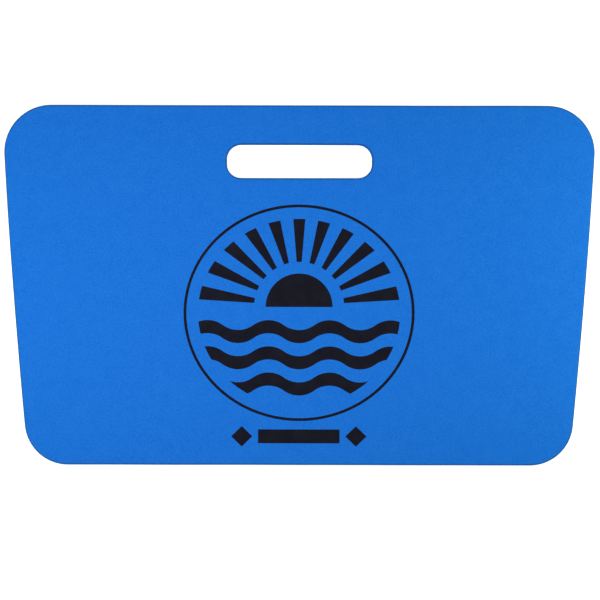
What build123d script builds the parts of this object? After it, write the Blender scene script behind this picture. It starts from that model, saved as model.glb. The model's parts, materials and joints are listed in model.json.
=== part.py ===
from build123d import *
import math
import os

# Foam kneeling board: a flat closed-cell foam pad to kneel or sit on, carried by a hand slot.
#
# Two plies of blue foam are bonded face to face by a thin hot-melt film, and the stack is die cut to a
# tapered outline with rounded corners. One colour of ink is screen printed on the top face.
# The steel rule squeezes the foam as it cuts, so every cut edge dishes inwards towards the bond line.
#
# Frame: millimetres, +Z up out of the printed face, +Y towards the hand slot. The origin is the middle
# of the face that lies on the ground.

# Board outline, measured to the sharp corners that the corner arcs round off.
SLOT_EDGE = 410.5  # length of the edge beside the hand slot
FRONT_EDGE = 372.0  # length of the opposite, shorter edge
DEPTH = 247.7  # distance between those two edges
SIDE_BOW = 1.5  # how far the middle of each tapered side stands out from a straight line
SLOT_EDGE_CORNER_R = 32.5
FRONT_CORNER_R = 30.0

# Thickness: two plies and the film between them.
THICKNESS = 19.0
FILM_THICKNESS = 0.2
PLY_THICKNESS = (THICKNESS - FILM_THICKNESS) / 2

# Hand slot.
SLOT_LENGTH = 100.2
SLOT_WIDTH = 23.2
SLOT_CORNER_R = 10.0
GRIP_WIDTH = 27.0  # foam left between the slot and the edge beside it
SLOT_Y = DEPTH / 2 - GRIP_WIDTH - SLOT_WIDTH / 2

# Cut edges.
DISH = 0.8  # how far a cut edge stands back at the bond line
EDGE_R = 0.8  # roll of the cut edge onto the two outer faces
WALL_TAPER = math.degrees(math.atan2(DISH, PLY_THICKNESS))

# Screen print: a sun over water inside an oval ring, and an ornamental bar below it.
INK_THICKNESS = 0.1
RING_Y = -19.0  # the ring's centre
RING_LENGTH = 157.0  # along X, to the middle of the ring's line
RING_WIDTH = 147.0  # along Y
RING_LINE = 1.9
RING_MARGIN = 8.0  # bare foam between the ring's line and the art inside it
SUN_R = 23.0
SUN_RISE = 4.0  # height of the sun's flat side over the ring's centre
RAY_COUNT = 11
RAY_INNER_R = 31.0
RAY_INNER_WIDTH = 3.4
RAY_OUTER_R = 80.0  # past the margin that every ray is cut to
RAY_OUTER_WIDTH = 11.5
WAVE_LEVELS = {"upper": -13.0, "middle": -31.0, "lower": -49.0}  # heights over the ring's centre
WAVE_DEPTH = 9.0  # from a band's upper line to its lower one
HALF_WAVE = 21.0
HALF_WAVES = 7  # in a band, before its ends are cut to the margin
WAVE_RISE = 3.4  # how far a crest stands over its line
BAR_Y = -104.0
BAR_LENGTH = 56.0
BAR_WIDTH = 9.5
DIAMOND_LENGTH = 14.5
DIAMOND_WIDTH = 14.0
DIAMOND_GAP = 4.0  # between the bar's end and a diamond's point


def board_face():
    """The board's outline at its two outer faces."""
    x_front, x_slot_edge, y = FRONT_EDGE / 2, SLOT_EDGE / 2, DEPTH / 2
    right_side = SagittaArc((x_front, -y), (x_slot_edge, y), -SIDE_BOW)
    left_side = SagittaArc((-x_slot_edge, y), (-x_front, -y), -SIDE_BOW)
    slot_edge = Line(right_side @ 1, left_side @ 0)
    front_edge = Line(left_side @ 1, right_side @ 0)
    sharp = make_face([right_side, slot_edge, left_side, front_edge])
    rounded = fillet(sharp.vertices().group_by(Axis.Y)[0], FRONT_CORNER_R)
    return fillet(rounded.vertices().group_by(Axis.Y)[-1], SLOT_EDGE_CORNER_R)


def slot_face():
    """The hand slot's outline at the two outer faces."""
    return Pos(0, SLOT_Y) * RectangleRounded(SLOT_LENGTH, SLOT_WIDTH, SLOT_CORNER_R)


def foam_ply(outer_z, inwards):
    """One ply, with its outer face at outer_z and its walls dished towards the bond line. inwards is the
    way from the outer face to the bond line: 1 for up and -1 for down."""
    way = (0, 0, inwards)
    board = extrude(Pos(0, 0, outer_z) * board_face(), PLY_THICKNESS, dir=way, taper=WALL_TAPER)
    slot = extrude(Pos(0, 0, outer_z) * slot_face(), PLY_THICKNESS, dir=way, taper=-WALL_TAPER)
    ply = board - slot
    outer_face = ply.faces().sort_by(Axis.Z)[0 if inwards > 0 else -1]
    return fillet(outer_face.edges(), EDGE_R)


def bond_film():
    """The hot-melt film, which ends flush with the dished edges."""
    cut_film = offset(board_face(), -DISH) - offset(slot_face(), DISH)
    return extrude(Pos(0, 0, PLY_THICKNESS) * cut_film, FILM_THICKNESS)


def inked(art):
    """A film of ink of that outline, printed on the top face."""
    return extrude(Pos(0, 0, THICKNESS) * art, INK_THICKNESS)


def in_ring(art):
    """Art drawn about the ring's centre, moved to its place on the board."""
    return Pos(0, RING_Y) * art


def oval(inset):
    """An oval that lies that far inside the middle of the ring's line."""
    return Ellipse(RING_LENGTH / 2 - inset, RING_WIDTH / 2 - inset)


def ring():
    return in_ring(oval(-RING_LINE / 2) - oval(RING_LINE / 2))


def within_margin(art):
    """Art drawn about the ring's centre, cut to the margin inside the ring and moved to its place."""
    return in_ring(art & oval(RING_MARGIN + RING_LINE / 2))


def sun():
    """The upper half of a disc."""
    left, top, right = (-SUN_R, SUN_RISE), (0, SUN_RISE + SUN_R), (SUN_R, SUN_RISE)
    return in_ring(make_face([ThreePointArc(right, top, left), Line(left, right)]))


def sun_rays():
    """Rays that widen outwards, evenly spread over the upper half turn."""
    inner, outer = RAY_INNER_WIDTH / 2, RAY_OUTER_WIDTH / 2
    corners = [(RAY_INNER_R, -inner), (RAY_OUTER_R, -outer), (RAY_OUTER_R, outer), (RAY_INNER_R, inner)]
    ray = Polygon(*corners, align=None)
    turns = [(i + 0.5) * 180 / RAY_COUNT for i in range(RAY_COUNT)]
    return [within_margin(Pos(0, SUN_RISE) * Rot(0, 0, turn) * ray) for turn in turns]


def wave_line(height):
    """A run of arcs that bend up and down by turns, centred on x = 0."""
    ends = [((i - HALF_WAVES / 2) * HALF_WAVE, height) for i in range(HALF_WAVES + 1)]
    return [SagittaArc(ends[i], ends[i + 1], WAVE_RISE * (-1) ** i) for i in range(HALF_WAVES)]


def wave(level):
    """One band of water, from side to side of the ring's margin."""
    top, bottom = wave_line(level + WAVE_DEPTH / 2), wave_line(level - WAVE_DEPTH / 2)
    sides = [Line(top[0] @ 0, bottom[0] @ 0), Line(top[-1] @ 1, bottom[-1] @ 1)]
    return within_margin(make_face([*top, *bottom, *sides]))


def bar():
    return Pos(0, BAR_Y) * Rectangle(BAR_LENGTH, BAR_WIDTH)


def diamonds():
    """A diamond off each end of the bar."""
    x, y = DIAMOND_LENGTH / 2, DIAMOND_WIDTH / 2
    diamond = Polygon((-x, 0), (0, -y), (x, 0), (0, y), align=None)
    away = BAR_LENGTH / 2 + DIAMOND_GAP + x
    return [Pos(side * away, BAR_Y) * diamond for side in (-1, 1)]


def sub_parts():
    """Every sub-part by its node name."""
    made = {
        "lower_foam_ply": foam_ply(0, 1),
        "bond_film": bond_film(),
        "upper_foam_ply": foam_ply(THICKNESS, -1),
        "print_ring": inked(ring()),
        "print_sun": inked(sun()),
        "print_sun_rays": Compound([inked(ray) for ray in sun_rays()]),
        "print_bar": inked(bar()),
        "print_diamonds": Compound([inked(diamond) for diamond in diamonds()]),
    }
    for name, level in WAVE_LEVELS.items():
        made[f"print_{name}_wave"] = inked(wave(level))
    return made


os.makedirs("parts", exist_ok=True)
for node, shape in sub_parts().items():
    export_step(shape, f"parts/{node}.step")
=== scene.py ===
import json
import math

import bpy
import numpy as np
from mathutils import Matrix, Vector, noise


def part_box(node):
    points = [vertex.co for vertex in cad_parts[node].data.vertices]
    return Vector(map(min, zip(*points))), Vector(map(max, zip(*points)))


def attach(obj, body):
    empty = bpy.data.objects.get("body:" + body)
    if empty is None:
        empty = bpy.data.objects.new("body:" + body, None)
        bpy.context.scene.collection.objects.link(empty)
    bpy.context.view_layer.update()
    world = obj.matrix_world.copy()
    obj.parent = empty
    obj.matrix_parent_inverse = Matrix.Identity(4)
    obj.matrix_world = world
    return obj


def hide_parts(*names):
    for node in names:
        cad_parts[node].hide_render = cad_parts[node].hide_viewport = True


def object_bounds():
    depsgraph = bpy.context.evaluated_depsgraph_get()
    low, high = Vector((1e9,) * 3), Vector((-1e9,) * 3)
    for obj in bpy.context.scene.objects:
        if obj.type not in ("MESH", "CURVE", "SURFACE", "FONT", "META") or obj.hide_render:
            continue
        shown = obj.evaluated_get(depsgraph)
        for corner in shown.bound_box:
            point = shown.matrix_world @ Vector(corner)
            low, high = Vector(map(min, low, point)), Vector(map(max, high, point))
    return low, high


# Foam kneeling board. The two foam plies are rebuilt here with the soft edges that a cutting die leaves;
# the bond film and the ink keep the CAD's shapes and get their finish. Units are metres.

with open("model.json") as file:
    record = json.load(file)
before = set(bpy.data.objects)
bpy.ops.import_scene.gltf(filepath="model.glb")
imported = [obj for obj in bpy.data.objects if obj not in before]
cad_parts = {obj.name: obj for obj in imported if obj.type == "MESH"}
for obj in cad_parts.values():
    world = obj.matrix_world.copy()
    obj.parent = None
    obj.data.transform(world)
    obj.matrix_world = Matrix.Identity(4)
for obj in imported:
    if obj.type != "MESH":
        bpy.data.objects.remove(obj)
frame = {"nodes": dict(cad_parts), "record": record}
cad_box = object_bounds()

MM = 0.001
BODY = "root"
PRINT = [node for node in sorted(frame["nodes"]) if node.startswith("print_")]

# Outlines of the board and of its hand slot, as the CAD part has them.
SLOT_EDGE = 410.5 * MM
FRONT_EDGE = 372 * MM
DEPTH = 247.7 * MM
SIDE_BOW = 1.5 * MM
SLOT_EDGE_CORNER_R = 32.5 * MM
FRONT_CORNER_R = 30 * MM
SLOT_LENGTH = 100.2 * MM
SLOT_WIDTH = 23.2 * MM
SLOT_CORNER_R = 10 * MM

# Cut edges, from the outer face to the bond line.
ROLL_R = 1.5 * MM  # soft roll from the face onto the wall
DISH = 0.8 * MM  # how far the wall stands back at the bond line
DISH_DRIFT = 0.25  # share of the dish by which it comes and goes along the edge
DRIFT_LENGTH = 45 * MM
RIPPLE = 0.06 * MM  # fine waviness of the cut
RIPPLE_LENGTH = 6 * MM
SEAM_R = 0.35 * MM  # melted corner of the wall at the bond line
WOBBLE = 0.15 * MM  # how far the whole edge strays from its outline
WOBBLE_LENGTH = 60 * MM

# Outer faces, which are never quite flat, except round the print, so that the ink lies on the foam.
SWELL = 0.16 * MM
SWELL_LENGTH = 70 * MM
FLAT_R = 95 * MM
FLAT_FADE = 50 * MM

# Seeds of the smooth noises along the cut edges, each of which gives another pattern.
BOARD_SEED = 0.3
SLOT_SEED = 0.7
DRIFT_SEED = 0.5
NOISE_GAIN = 1.5  # brings every smooth noise to about -1 to 1

# How finely a ply is meshed.
POINTS_ROUND = 720
FACE_RINGS = 40
ROLL_RINGS = 8
DISH_RINGS = 9
SEAM_RINGS = 4
ARC_POINTS = 60  # along each arc of an outline, before the outline is divided evenly

# Colours.
PALE_GRAIN_AND_GLINT_BLUE = (0.0117, 0.186, 0.701)  # the skin's lighter grain, whiter for painted glints of its cells
DEEP_BLUE = (0.0002, 0.146, 0.641)  # the skin's darker grain
RIM_SHADE_BLUE = (0.0075, 0.106, 0.325)  # painted shade along the rolled rim, darker than the skin
CUT_AND_SHADE_BLUE = (0.0085, 0.116, 0.440)  # cut cells: their own duller blue, darkened further as painted shade on the upright walls
FILM_BLUE = (0.0080, 0.090, 0.360)
INK_BLACK = (0.0046, 0.0044, 0.0112)
TABLE_WHITE = (0.87, 0.87, 0.87)

# Grain, relief and gloss of the materials.
WHOLE = (0.0, 1.0)
MOST_NOISE = (0.3, 0.7)  # nearly all of a noise lies in here
FINE_NOISE = (0.25, 0.75)  # a wider span, which leaves fine grain softer
SKIN_GRAIN = 1.2 * MM
SKIN_PATCH = 9 * MM
PATCH_DETAIL = 3.0
PATCH_SHARE = 0.12  # how far a patch moves the grain's colour, of the way from deep to pale
RELIEF = 0.05 * MM  # what a height of 1 stands for
SKIN_RELIEF = 0.5  # the skin's heights against those of the cut wall
PEBBLE = 1.1 * MM
PEBBLE_SWELL = 2.5 * MM  # slower unevenness that the pebbles lie on
CELL_SOFTNESS = 0.4
BURST_CELL = 0.7 * MM
BURST_DEPTH = (0.0, 0.7)  # from the middle of a burst cell to its wall, in cells
BURST_TONE = (1.15, 0.9)  # how light the cell is there
DRAG_LENGTH = 2.2 * MM  # width of the streaks that the die drags down the wall
DRAG_TONE = (-0.06, 0.06)
RIM_SHADE_STEEPNESS = (0.03, 0.22)  # where the roll turns from skin into the rim's painted shade
WALL_STEEPNESS = (0.42, 0.72)  # where it turns into the cut wall, with its painted shade
FOAM_ROUGHNESS = (0.7, 0.95)  # of the skin and of the cut wall
FOAM_GLOSS = 0.12
FILM_PATCH = 3 * MM
FILM_ROUGHNESS = 0.5
FILM_GLOSS = 0.25
MOTTLE = (0.8, 1.2)  # darkest and lightest tone of the film and of the ink
INK_GRAIN = 1.3 * MM
INK_PATCH = 8 * MM
INK_ROUGHNESS = (0.62, 0.78)
INK_GLOSS = 0.11
PINHOLE = 0.6 * MM
PINHOLE_NOISE = (0.72, 0.78)  # only the rare peaks of a noise
PINHOLE_BLUE = (0.0, 0.5)  # share of the foam's colour that shows in a pinhole
TABLE_ROUGHNESS = 0.9
TABLE_GLOSS = 0.1

# Camera.
BOARD_SHARE = 0.985  # share of the picture's width that the board takes up
AIM = (0.6 * MM, -10.2 * MM)  # the place on the board under the middle of the picture
ROLL = math.radians(0.13)  # the picture isn't quite square to the board
SENSOR_WIDTH = 36.0  # in millimetres, as Blender has it
LENS_TO_SENSOR = 8.0  # a long lens from far off, so that no wall shows round the board

# Light and table.
SOFT_BOX = 0.3  # side of each lamp
COOL = (0.89, 0.89, 1.0)
WARM = (1.0, 1.0, 0.83)
LAMPS = {  # place, the place that it is aimed at, power in watts, and tint
    "top_box": ((-0.1, 0, 0.45), (-0.1, 0, 0), 1.23, COOL),
    "right_box": ((0.34, 0.02, 0.18), (0, 0, 0), 0.69, WARM),
    "left_box": ((-0.38, -0.02, 0.2), (0, 0, 0), 0.41, WARM),
}
ROOM_LIGHT = 0.25  # light from the room all round
TABLE_GLOW = 0.785  # light that the table gives of its own
TABLE_REACH = 60.0  # from the middle of the table to its edge
TABLE_GAP = 0.01 * MM  # between the board's underside and the table


# ------------------------------------------------------------------------------------- foam plies

def even_outline(arcs):
    """POINTS_ROUND places spread evenly round an outline, and the outward direction at each. arcs holds
    (x, y, radius, first angle, last angle) in degrees, anticlockwise; straight lines join them. The
    first place is the middle of the line from the last arc to the first."""
    spots, angles = [], []
    for x, y, radius, first, last in arcs:
        angle = np.radians(np.linspace(first, last, ARC_POINTS))
        spots.append(np.stack([x + radius * np.cos(angle), y + radius * np.sin(angle)], axis=1))
        angles.append(angle)
    spots = np.concatenate([*spots, spots[0][:1]])
    angles = np.unwrap(np.concatenate([*angles, angles[0][:1]]))
    steps = np.linalg.norm(np.diff(spots, axis=0), axis=1)
    along = np.concatenate([[0], np.cumsum(steps)])
    wanted = (np.arange(POINTS_ROUND) / POINTS_ROUND * along[-1] - steps[-1] / 2) % along[-1]
    places = np.stack([np.interp(wanted, along, spots[:, axis]) for axis in (0, 1)], axis=1)
    angle = np.interp(wanted, along, angles)
    return places, np.stack([np.cos(angle), np.sin(angle)], axis=1)


def right_arcs():
    """The board's right side from the front edge to the slot edge: a corner, the bowed side, a corner."""
    front, slot_edge, y = FRONT_EDGE / 2, SLOT_EDGE / 2, DEPTH / 2
    length = math.hypot(slot_edge - front, DEPTH)
    bow_r = (length**2 / 4 + SIDE_BOW**2) / (2 * SIDE_BOW)
    outward = np.array([DEPTH, front - slot_edge]) / length
    bow_x, bow_y = np.array([(front + slot_edge) / 2, 0]) - outward * (bow_r - SIDE_BOW)

    def corner(r, centre_y):
        """Centre of the corner arc that runs into the bowed side, and the angle where it does."""
        rise = centre_y - bow_y
        run = math.sqrt((bow_r - r) ** 2 - rise**2)
        return bow_x + run, math.degrees(math.atan2(rise, run))

    front_y, slot_edge_y = FRONT_CORNER_R - y, y - SLOT_EDGE_CORNER_R
    front_x, front_turn = corner(FRONT_CORNER_R, front_y)
    slot_edge_x, slot_edge_turn = corner(SLOT_EDGE_CORNER_R, slot_edge_y)
    return [
        (front_x, front_y, FRONT_CORNER_R, -90, front_turn),
        (bow_x, bow_y, bow_r, front_turn, slot_edge_turn),
        (slot_edge_x, slot_edge_y, SLOT_EDGE_CORNER_R, slot_edge_turn, 90),
    ]


def mirrored(arcs):
    """The same arcs on the left side, still anticlockwise."""
    return [(-x, y, r, 180 - last, 180 - first) for x, y, r, first, last in reversed(arcs)]


def waves(places, length, seed):
    """Smooth noise from about -1 to 1 at each place, with bumps of about that length."""
    return np.array([noise.noise(Vector((*place, seed)) / length) for place in places]) * NOISE_GAIN


def board_outline():
    """Where the die cut the board, and which way the foam lies from there."""
    places, outward = even_outline(mirrored(right_arcs()) + right_arcs())
    stray = WOBBLE * (waves(places, WOBBLE_LENGTH, BOARD_SEED) - 1) / 2
    return places + outward * stray[:, None], -outward


def slot_outline():
    """The same for the hand slot."""
    slot = next(m for m in frame["record"]["mounts"] if m["name"] == "hand_slot")
    r = SLOT_CORNER_R
    x, y = SLOT_LENGTH / 2 - r, SLOT_WIDTH / 2 - r
    arcs = [(-x, y, r, 90, 180), (-x, -y, r, 180, 270), (x, -y, r, 270, 360), (x, y, r, 0, 90)]
    places, outward = even_outline(arcs)
    stray = WOBBLE * waves(places, WOBBLE_LENGTH, SLOT_SEED) / 2
    return places + slot["pos_m"][:2] + outward * stray[:, None], outward


def wall_profile(height):
    """The cut wall's section from the edge of the outer face to the bond line, as rows of: the inset
    that the roll gives, the share of the dish, and the depth below the outer face."""
    lean = math.atan(2 * DISH / (height - ROLL_R - SEAM_R))
    roll_end = ROLL_R * (1 + math.sin(lean))
    rows = []
    for angle in np.linspace(0, math.pi / 2 + lean, ROLL_RINGS):
        rows.append((ROLL_R * (1 - math.sin(angle)), 0, ROLL_R * (1 - math.cos(angle))))
    for t in np.linspace(0, 1, DISH_RINGS + 1)[1:]:
        share = 1 - (1 - t) ** 2
        left_of_roll = rows[ROLL_RINGS - 1][0] * (1 - t)
        rows.append((left_of_roll, share, roll_end + t * (height - SEAM_R - roll_end)))
    for angle in np.linspace(0, math.pi / 2, SEAM_RINGS + 1)[1:]:
        rows.append((SEAM_R * (1 - math.cos(angle)), 1, height - SEAM_R * (1 - math.sin(angle))))
    return rows


def wall_rings(outline, height):
    """Rings of (x, y, depth) down one cut wall, first the edge of the outer face."""
    places, into_foam = outline
    drift = 1 + DISH_DRIFT * waves(places, DRIFT_LENGTH, DRIFT_SEED)
    rings = []
    for roll_inset, dish_share, depth in wall_profile(height):
        ripple = RIPPLE * dish_share * waves(places, RIPPLE_LENGTH, depth)
        inset = roll_inset + DISH * dish_share * drift + ripple
        ring = places + into_foam * inset[:, None]
        rings.append(np.column_stack([ring, np.full(len(ring), depth)]))
    return rings


def with_swell(ring, height, seed):
    """The ring with the outer face's slow unevenness, which dies out down the wall."""
    low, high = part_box("print_ring")
    centre = ((low + high) / 2)[:2]
    away = np.linalg.norm(ring[:, :2] - centre, axis=1)
    open_share = np.clip((away - FLAT_R) / FLAT_FADE, 0, 1)
    sink = SWELL * (1 + waves(ring[:, :2], SWELL_LENGTH, seed)) / 2
    ring[:, 2] += np.clip(sink, 0, None) * open_share * (1 - ring[:, 2] / height)
    return ring


def foam_ply(node, outer_z, bond_z):
    """One ply as a closed mesh: rings of points from the bond line up the board's wall, across the outer
    face to the slot and down the slot's wall, and a flat bond face from the last ring to the first."""
    height = abs(outer_z - bond_z)
    board_wall = wall_rings(board_outline(), height)
    slot_wall = wall_rings(slot_outline(), height)
    across = np.linspace(0, 1, FACE_RINGS + 1)[1:-1]
    face = [board_wall[0] * (1 - share) + slot_wall[0] * share for share in across]
    rings = [with_swell(ring, height, outer_z) for ring in [*board_wall[::-1], *face, *slot_wall]]
    points = np.concatenate(rings)
    points[:, 2] = outer_z + (bond_z - outer_z) / height * points[:, 2]
    faces = []
    for j in range(len(rings)):
        this, following = j * POINTS_ROUND, (j + 1) % len(rings) * POINTS_ROUND
        for i in range(POINTS_ROUND):
            k = (i + 1) % POINTS_ROUND
            quad = (this + i, this + k, following + k, following + i)
            faces.append(quad if outer_z > bond_z else quad[::-1])
    mesh = bpy.data.meshes.new(node)
    mesh.from_pydata(points.tolist(), [], faces)
    mesh.shade_smooth()
    mesh.validate()
    piece = bpy.data.objects.new(node + "_die_cut", mesh)
    bpy.context.scene.collection.objects.link(piece)
    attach(piece, BODY)
    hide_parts(node)
    return piece


# -------------------------------------------------------------------------------------- materials

def new_material(name, gloss):
    """A material, its node tree and its shader, which has that specular level all over."""
    material = bpy.data.materials.new(name)
    material.use_nodes = True
    shader = material.node_tree.nodes["Principled BSDF"]
    shader.inputs["Specular IOR Level"].default_value = gloss
    return material, material.node_tree, shader


def add(tree, kind, inputs=(), **settings):
    """A new node with those settings. inputs pairs a socket's name or number with a value or a link."""
    made = tree.nodes.new("ShaderNode" + kind)
    for name, value in settings.items():
        setattr(made, name, value)
    for socket, value in dict(inputs).items():
        if isinstance(value, bpy.types.NodeSocket):
            tree.links.new(value, made.inputs[socket])
        else:
            made.inputs[socket].default_value = value
    return made


def maths(tree, operation, a, b=0.0):
    return add(tree, "Math", {0: a, 1: b}, operation=operation).outputs[0]


def remap(tree, value, given, wanted):
    """The value carried from one span, (low, high), to another, and held to its ends."""
    limits = {"From Min": given[0], "From Max": given[1], "To Min": wanted[0], "To Max": wanted[1]}
    return add(tree, "MapRange", {"Value": value, **limits}).outputs["Result"]


def grain(tree, place, length, detail=2.0):
    """Noise of about that grain size, from 0 to 1."""
    inputs = {"Vector": place, "Scale": 1 / length, "Detail": detail}
    return add(tree, "TexNoise", inputs).outputs["Fac"]


def cells(tree, place, length):
    """The distance from the middle of the nearest cell, for cells of about that size."""
    inputs = {"Vector": place, "Scale": 1 / length, "Smoothness": CELL_SOFTNESS}
    return add(tree, "TexVoronoi", inputs, feature="SMOOTH_F1").outputs["Distance"]


def mix_colours(tree, share, a, b):
    made = add(tree, "Mix", {0: share, 6: a, 7: b}, data_type="RGBA")
    return made.outputs[2]


def shade(tree, colour, tone):
    """The colour made lighter or darker by tone."""
    return add(tree, "HueSaturation", {"Color": colour, "Value": tone}).outputs["Color"]


def opaque(colour):
    return (*colour, 1.0)


def bump(tree, height):
    """The normal of a surface with those heights, in units of RELIEF."""
    return add(tree, "Bump", {"Height": height, "Distance": RELIEF, "Strength": 1.0}).outputs["Normal"]


def steepness(tree):
    """0 on a level surface and 1 on an upright one."""
    normal = add(tree, "NewGeometry").outputs["Normal"]
    up = add(tree, "SeparateXYZ", {0: normal}).outputs["Z"]
    return maths(tree, "SUBTRACT", 1.0, maths(tree, "ABSOLUTE", up))


def skin_colour(tree, place):
    """The skin's pale and deep grain, in slow patches; the pale grain's extra white is painted glint."""
    slow = grain(tree, place, SKIN_PATCH, PATCH_DETAIL)
    patches = remap(tree, slow, MOST_NOISE, (-PATCH_SHARE, PATCH_SHARE))
    fine = remap(tree, grain(tree, place, SKIN_GRAIN), FINE_NOISE, WHOLE)
    # painted glints: the pale grain is whiter than the deep grain
    return mix_colours(tree, maths(tree, "ADD", fine, patches), opaque(DEEP_BLUE), opaque(PALE_GRAIN_AND_GLINT_BLUE))


def skin_height(tree, place):
    """The pebbled relief of the foam's skin."""
    height = maths(tree, "ADD", cells(tree, place, PEBBLE), grain(tree, place, PEBBLE_SWELL))
    return maths(tree, "MULTIPLY", height, SKIN_RELIEF)


def foam_finish():
    """Closed-cell foam: a matte pebbled skin, its rolled rim darkened by painted shade, and burst cells
    with the die's drag marks where it is cut, their duller blue partly painted shade on the upright
    walls."""
    material, tree, shader = new_material("foam", FOAM_GLOSS)
    place = add(tree, "TexCoord").outputs["Object"]
    steep = steepness(tree)
    column = add(tree, "VectorMath", {0: place, 1: (1, 1, 0)}, operation="MULTIPLY").outputs[0]
    drag = grain(tree, column, DRAG_LENGTH)
    burst = cells(tree, place, BURST_CELL)
    speckle = remap(tree, burst, BURST_DEPTH, BURST_TONE)
    streaks = remap(tree, drag, MOST_NOISE, DRAG_TONE)
    # the cut wall's blue: the cut cells' own duller blue, plus painted shade that darkens the upright
    # walls
    cut_and_shade = shade(tree, opaque(CUT_AND_SHADE_BLUE), maths(tree, "ADD", speckle, streaks))
    rim_shade = remap(tree, steep, RIM_SHADE_STEEPNESS, WHOLE)
    wall_and_shade = remap(tree, steep, WALL_STEEPNESS, WHOLE)
    # painted shade: the rolled rim turns a darker blue as it steepens
    skin_with_rim_shade = mix_colours(tree, rim_shade, skin_colour(tree, place), opaque(RIM_SHADE_BLUE))
    cut_height = maths(tree, "ADD", burst, drag)
    height = add(tree, "Mix", {0: wall_and_shade, 2: skin_height(tree, place), 3: cut_height}).outputs[0]
    tree.links.new(mix_colours(tree, wall_and_shade, skin_with_rim_shade, cut_and_shade), shader.inputs["Base Color"])
    tree.links.new(bump(tree, height), shader.inputs["Normal"])
    tree.links.new(remap(tree, wall_and_shade, WHOLE, FOAM_ROUGHNESS), shader.inputs["Roughness"])
    return material


def film_finish():
    """Hot-melt film, a little glossier than the foam, squeezed out unevenly along the bond line."""
    material, tree, shader = new_material("bond_film", FILM_GLOSS)
    shader.inputs["Roughness"].default_value = FILM_ROUGHNESS
    place = add(tree, "TexCoord").outputs["Object"]
    tone = remap(tree, grain(tree, place, FILM_PATCH), MOST_NOISE, MOTTLE)
    tree.links.new(shade(tree, opaque(FILM_BLUE), tone), shader.inputs["Base Color"])
    return material


def ink_finish():
    """Matte screen ink, through which the foam's pebbles show, with the odd pinhole."""
    material, tree, shader = new_material("ink", INK_GLOSS)
    place = add(tree, "TexCoord").outputs["Object"]
    tone = remap(tree, grain(tree, place, INK_GRAIN), FINE_NOISE, MOTTLE)
    pinholes = remap(tree, grain(tree, place, PINHOLE), PINHOLE_NOISE, PINHOLE_BLUE)
    roughness = remap(tree, grain(tree, place, INK_PATCH), MOST_NOISE, INK_ROUGHNESS)
    colour = mix_colours(tree, pinholes, shade(tree, opaque(INK_BLACK), tone), opaque(DEEP_BLUE))
    tree.links.new(colour, shader.inputs["Base Color"])
    tree.links.new(bump(tree, skin_height(tree, place)), shader.inputs["Normal"])
    tree.links.new(roughness, shader.inputs["Roughness"])
    return material


def floor_finish():
    """A plain white studio table, which glows a little, so that it stays white near the board."""
    material, tree, shader = new_material("table", TABLE_GLOSS)
    shader.inputs["Roughness"].default_value = TABLE_ROUGHNESS
    shader.inputs["Base Color"].default_value = opaque(TABLE_WHITE)
    shader.inputs["Emission Color"].default_value = (1, 1, 1, 1)
    shader.inputs["Emission Strength"].default_value = TABLE_GLOW
    return material


def wear(piece, material):
    """Gives every slot of a piece that material."""
    piece.data.materials.clear()
    piece.data.materials.append(material)


# ----------------------------------------------------------------------------- floor, light, camera

def floor():
    """The table under the board."""
    mesh = bpy.data.meshes.new("table")
    reach = TABLE_REACH
    corners = [(-reach, -reach, 0), (reach, -reach, 0), (reach, reach, 0), (-reach, reach, 0)]
    mesh.from_pydata(corners, [], [(0, 1, 2, 3)])
    table = bpy.data.objects.new("table", mesh)
    table.location.z = cad_box[0].z - TABLE_GAP
    bpy.context.scene.collection.objects.link(table)
    wear(table, floor_finish())


def soft_box(name, place, aim, power, colour):
    """A square area lamp."""
    lamp = bpy.data.lights.new(name, "AREA")
    lamp.shape = "SQUARE"
    lamp.size = SOFT_BOX
    lamp.energy = power
    lamp.color = colour
    box = bpy.data.objects.new(name, lamp)
    box.location = place
    box.rotation_euler = (Vector(aim) - Vector(place)).to_track_quat("-Z", "Y").to_euler()
    box.visible_camera = False
    bpy.context.scene.collection.objects.link(box)


def studio():
    """A white room, a cool soft box over the board, and a low warm one off each end, the right one
    stronger. The camera sees the room as pale as the table's far end, so that no horizon shows."""
    scene = bpy.context.scene
    scene.world = bpy.data.worlds.new("studio")
    scene.world.use_nodes = True
    room = scene.world.node_tree
    sky = room.nodes["Background"]
    sky.inputs["Color"].default_value = (1, 1, 1, 1)
    far_table = TABLE_GLOW + TABLE_WHITE[0] * ROOM_LIGHT
    seen = add(room, "LightPath").outputs["Is Camera Ray"]
    room.links.new(remap(room, seen, WHOLE, (ROOM_LIGHT, far_table)), sky.inputs["Strength"])
    for name, (place, aim, power, colour) in LAMPS.items():
        soft_box(name, place, aim, power, colour)
    scene.view_settings.view_transform = "Standard"
    scene.view_settings.look = "None"


def camera():
    """Looks straight down from far off, with the slot edge at the picture's top."""
    low, high = cad_box
    data = bpy.data.cameras.new("camera")
    data.sensor_width = SENSOR_WIDTH
    data.lens = SENSOR_WIDTH * LENS_TO_SENSOR
    view_width = (high.x - low.x) / BOARD_SHARE
    eye = bpy.data.objects.new("camera", data)
    eye.location = (*AIM, high.z + view_width * LENS_TO_SENSOR)
    eye.rotation_euler.z = ROLL
    bpy.context.scene.collection.objects.link(eye)
    bpy.context.scene.camera = eye


camera()
studio()
floor()

lower_low, lower_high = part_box("lower_foam_ply")
upper_low, upper_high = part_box("upper_foam_ply")
foam = foam_finish()
wear(foam_ply("lower_foam_ply", lower_low.z, lower_high.z), foam)
wear(foam_ply("upper_foam_ply", upper_high.z, upper_low.z), foam)

ink = ink_finish()
for node in PRINT:
    wear(frame["nodes"][node], ink)
wear(frame["nodes"]["bond_film"], film_finish())
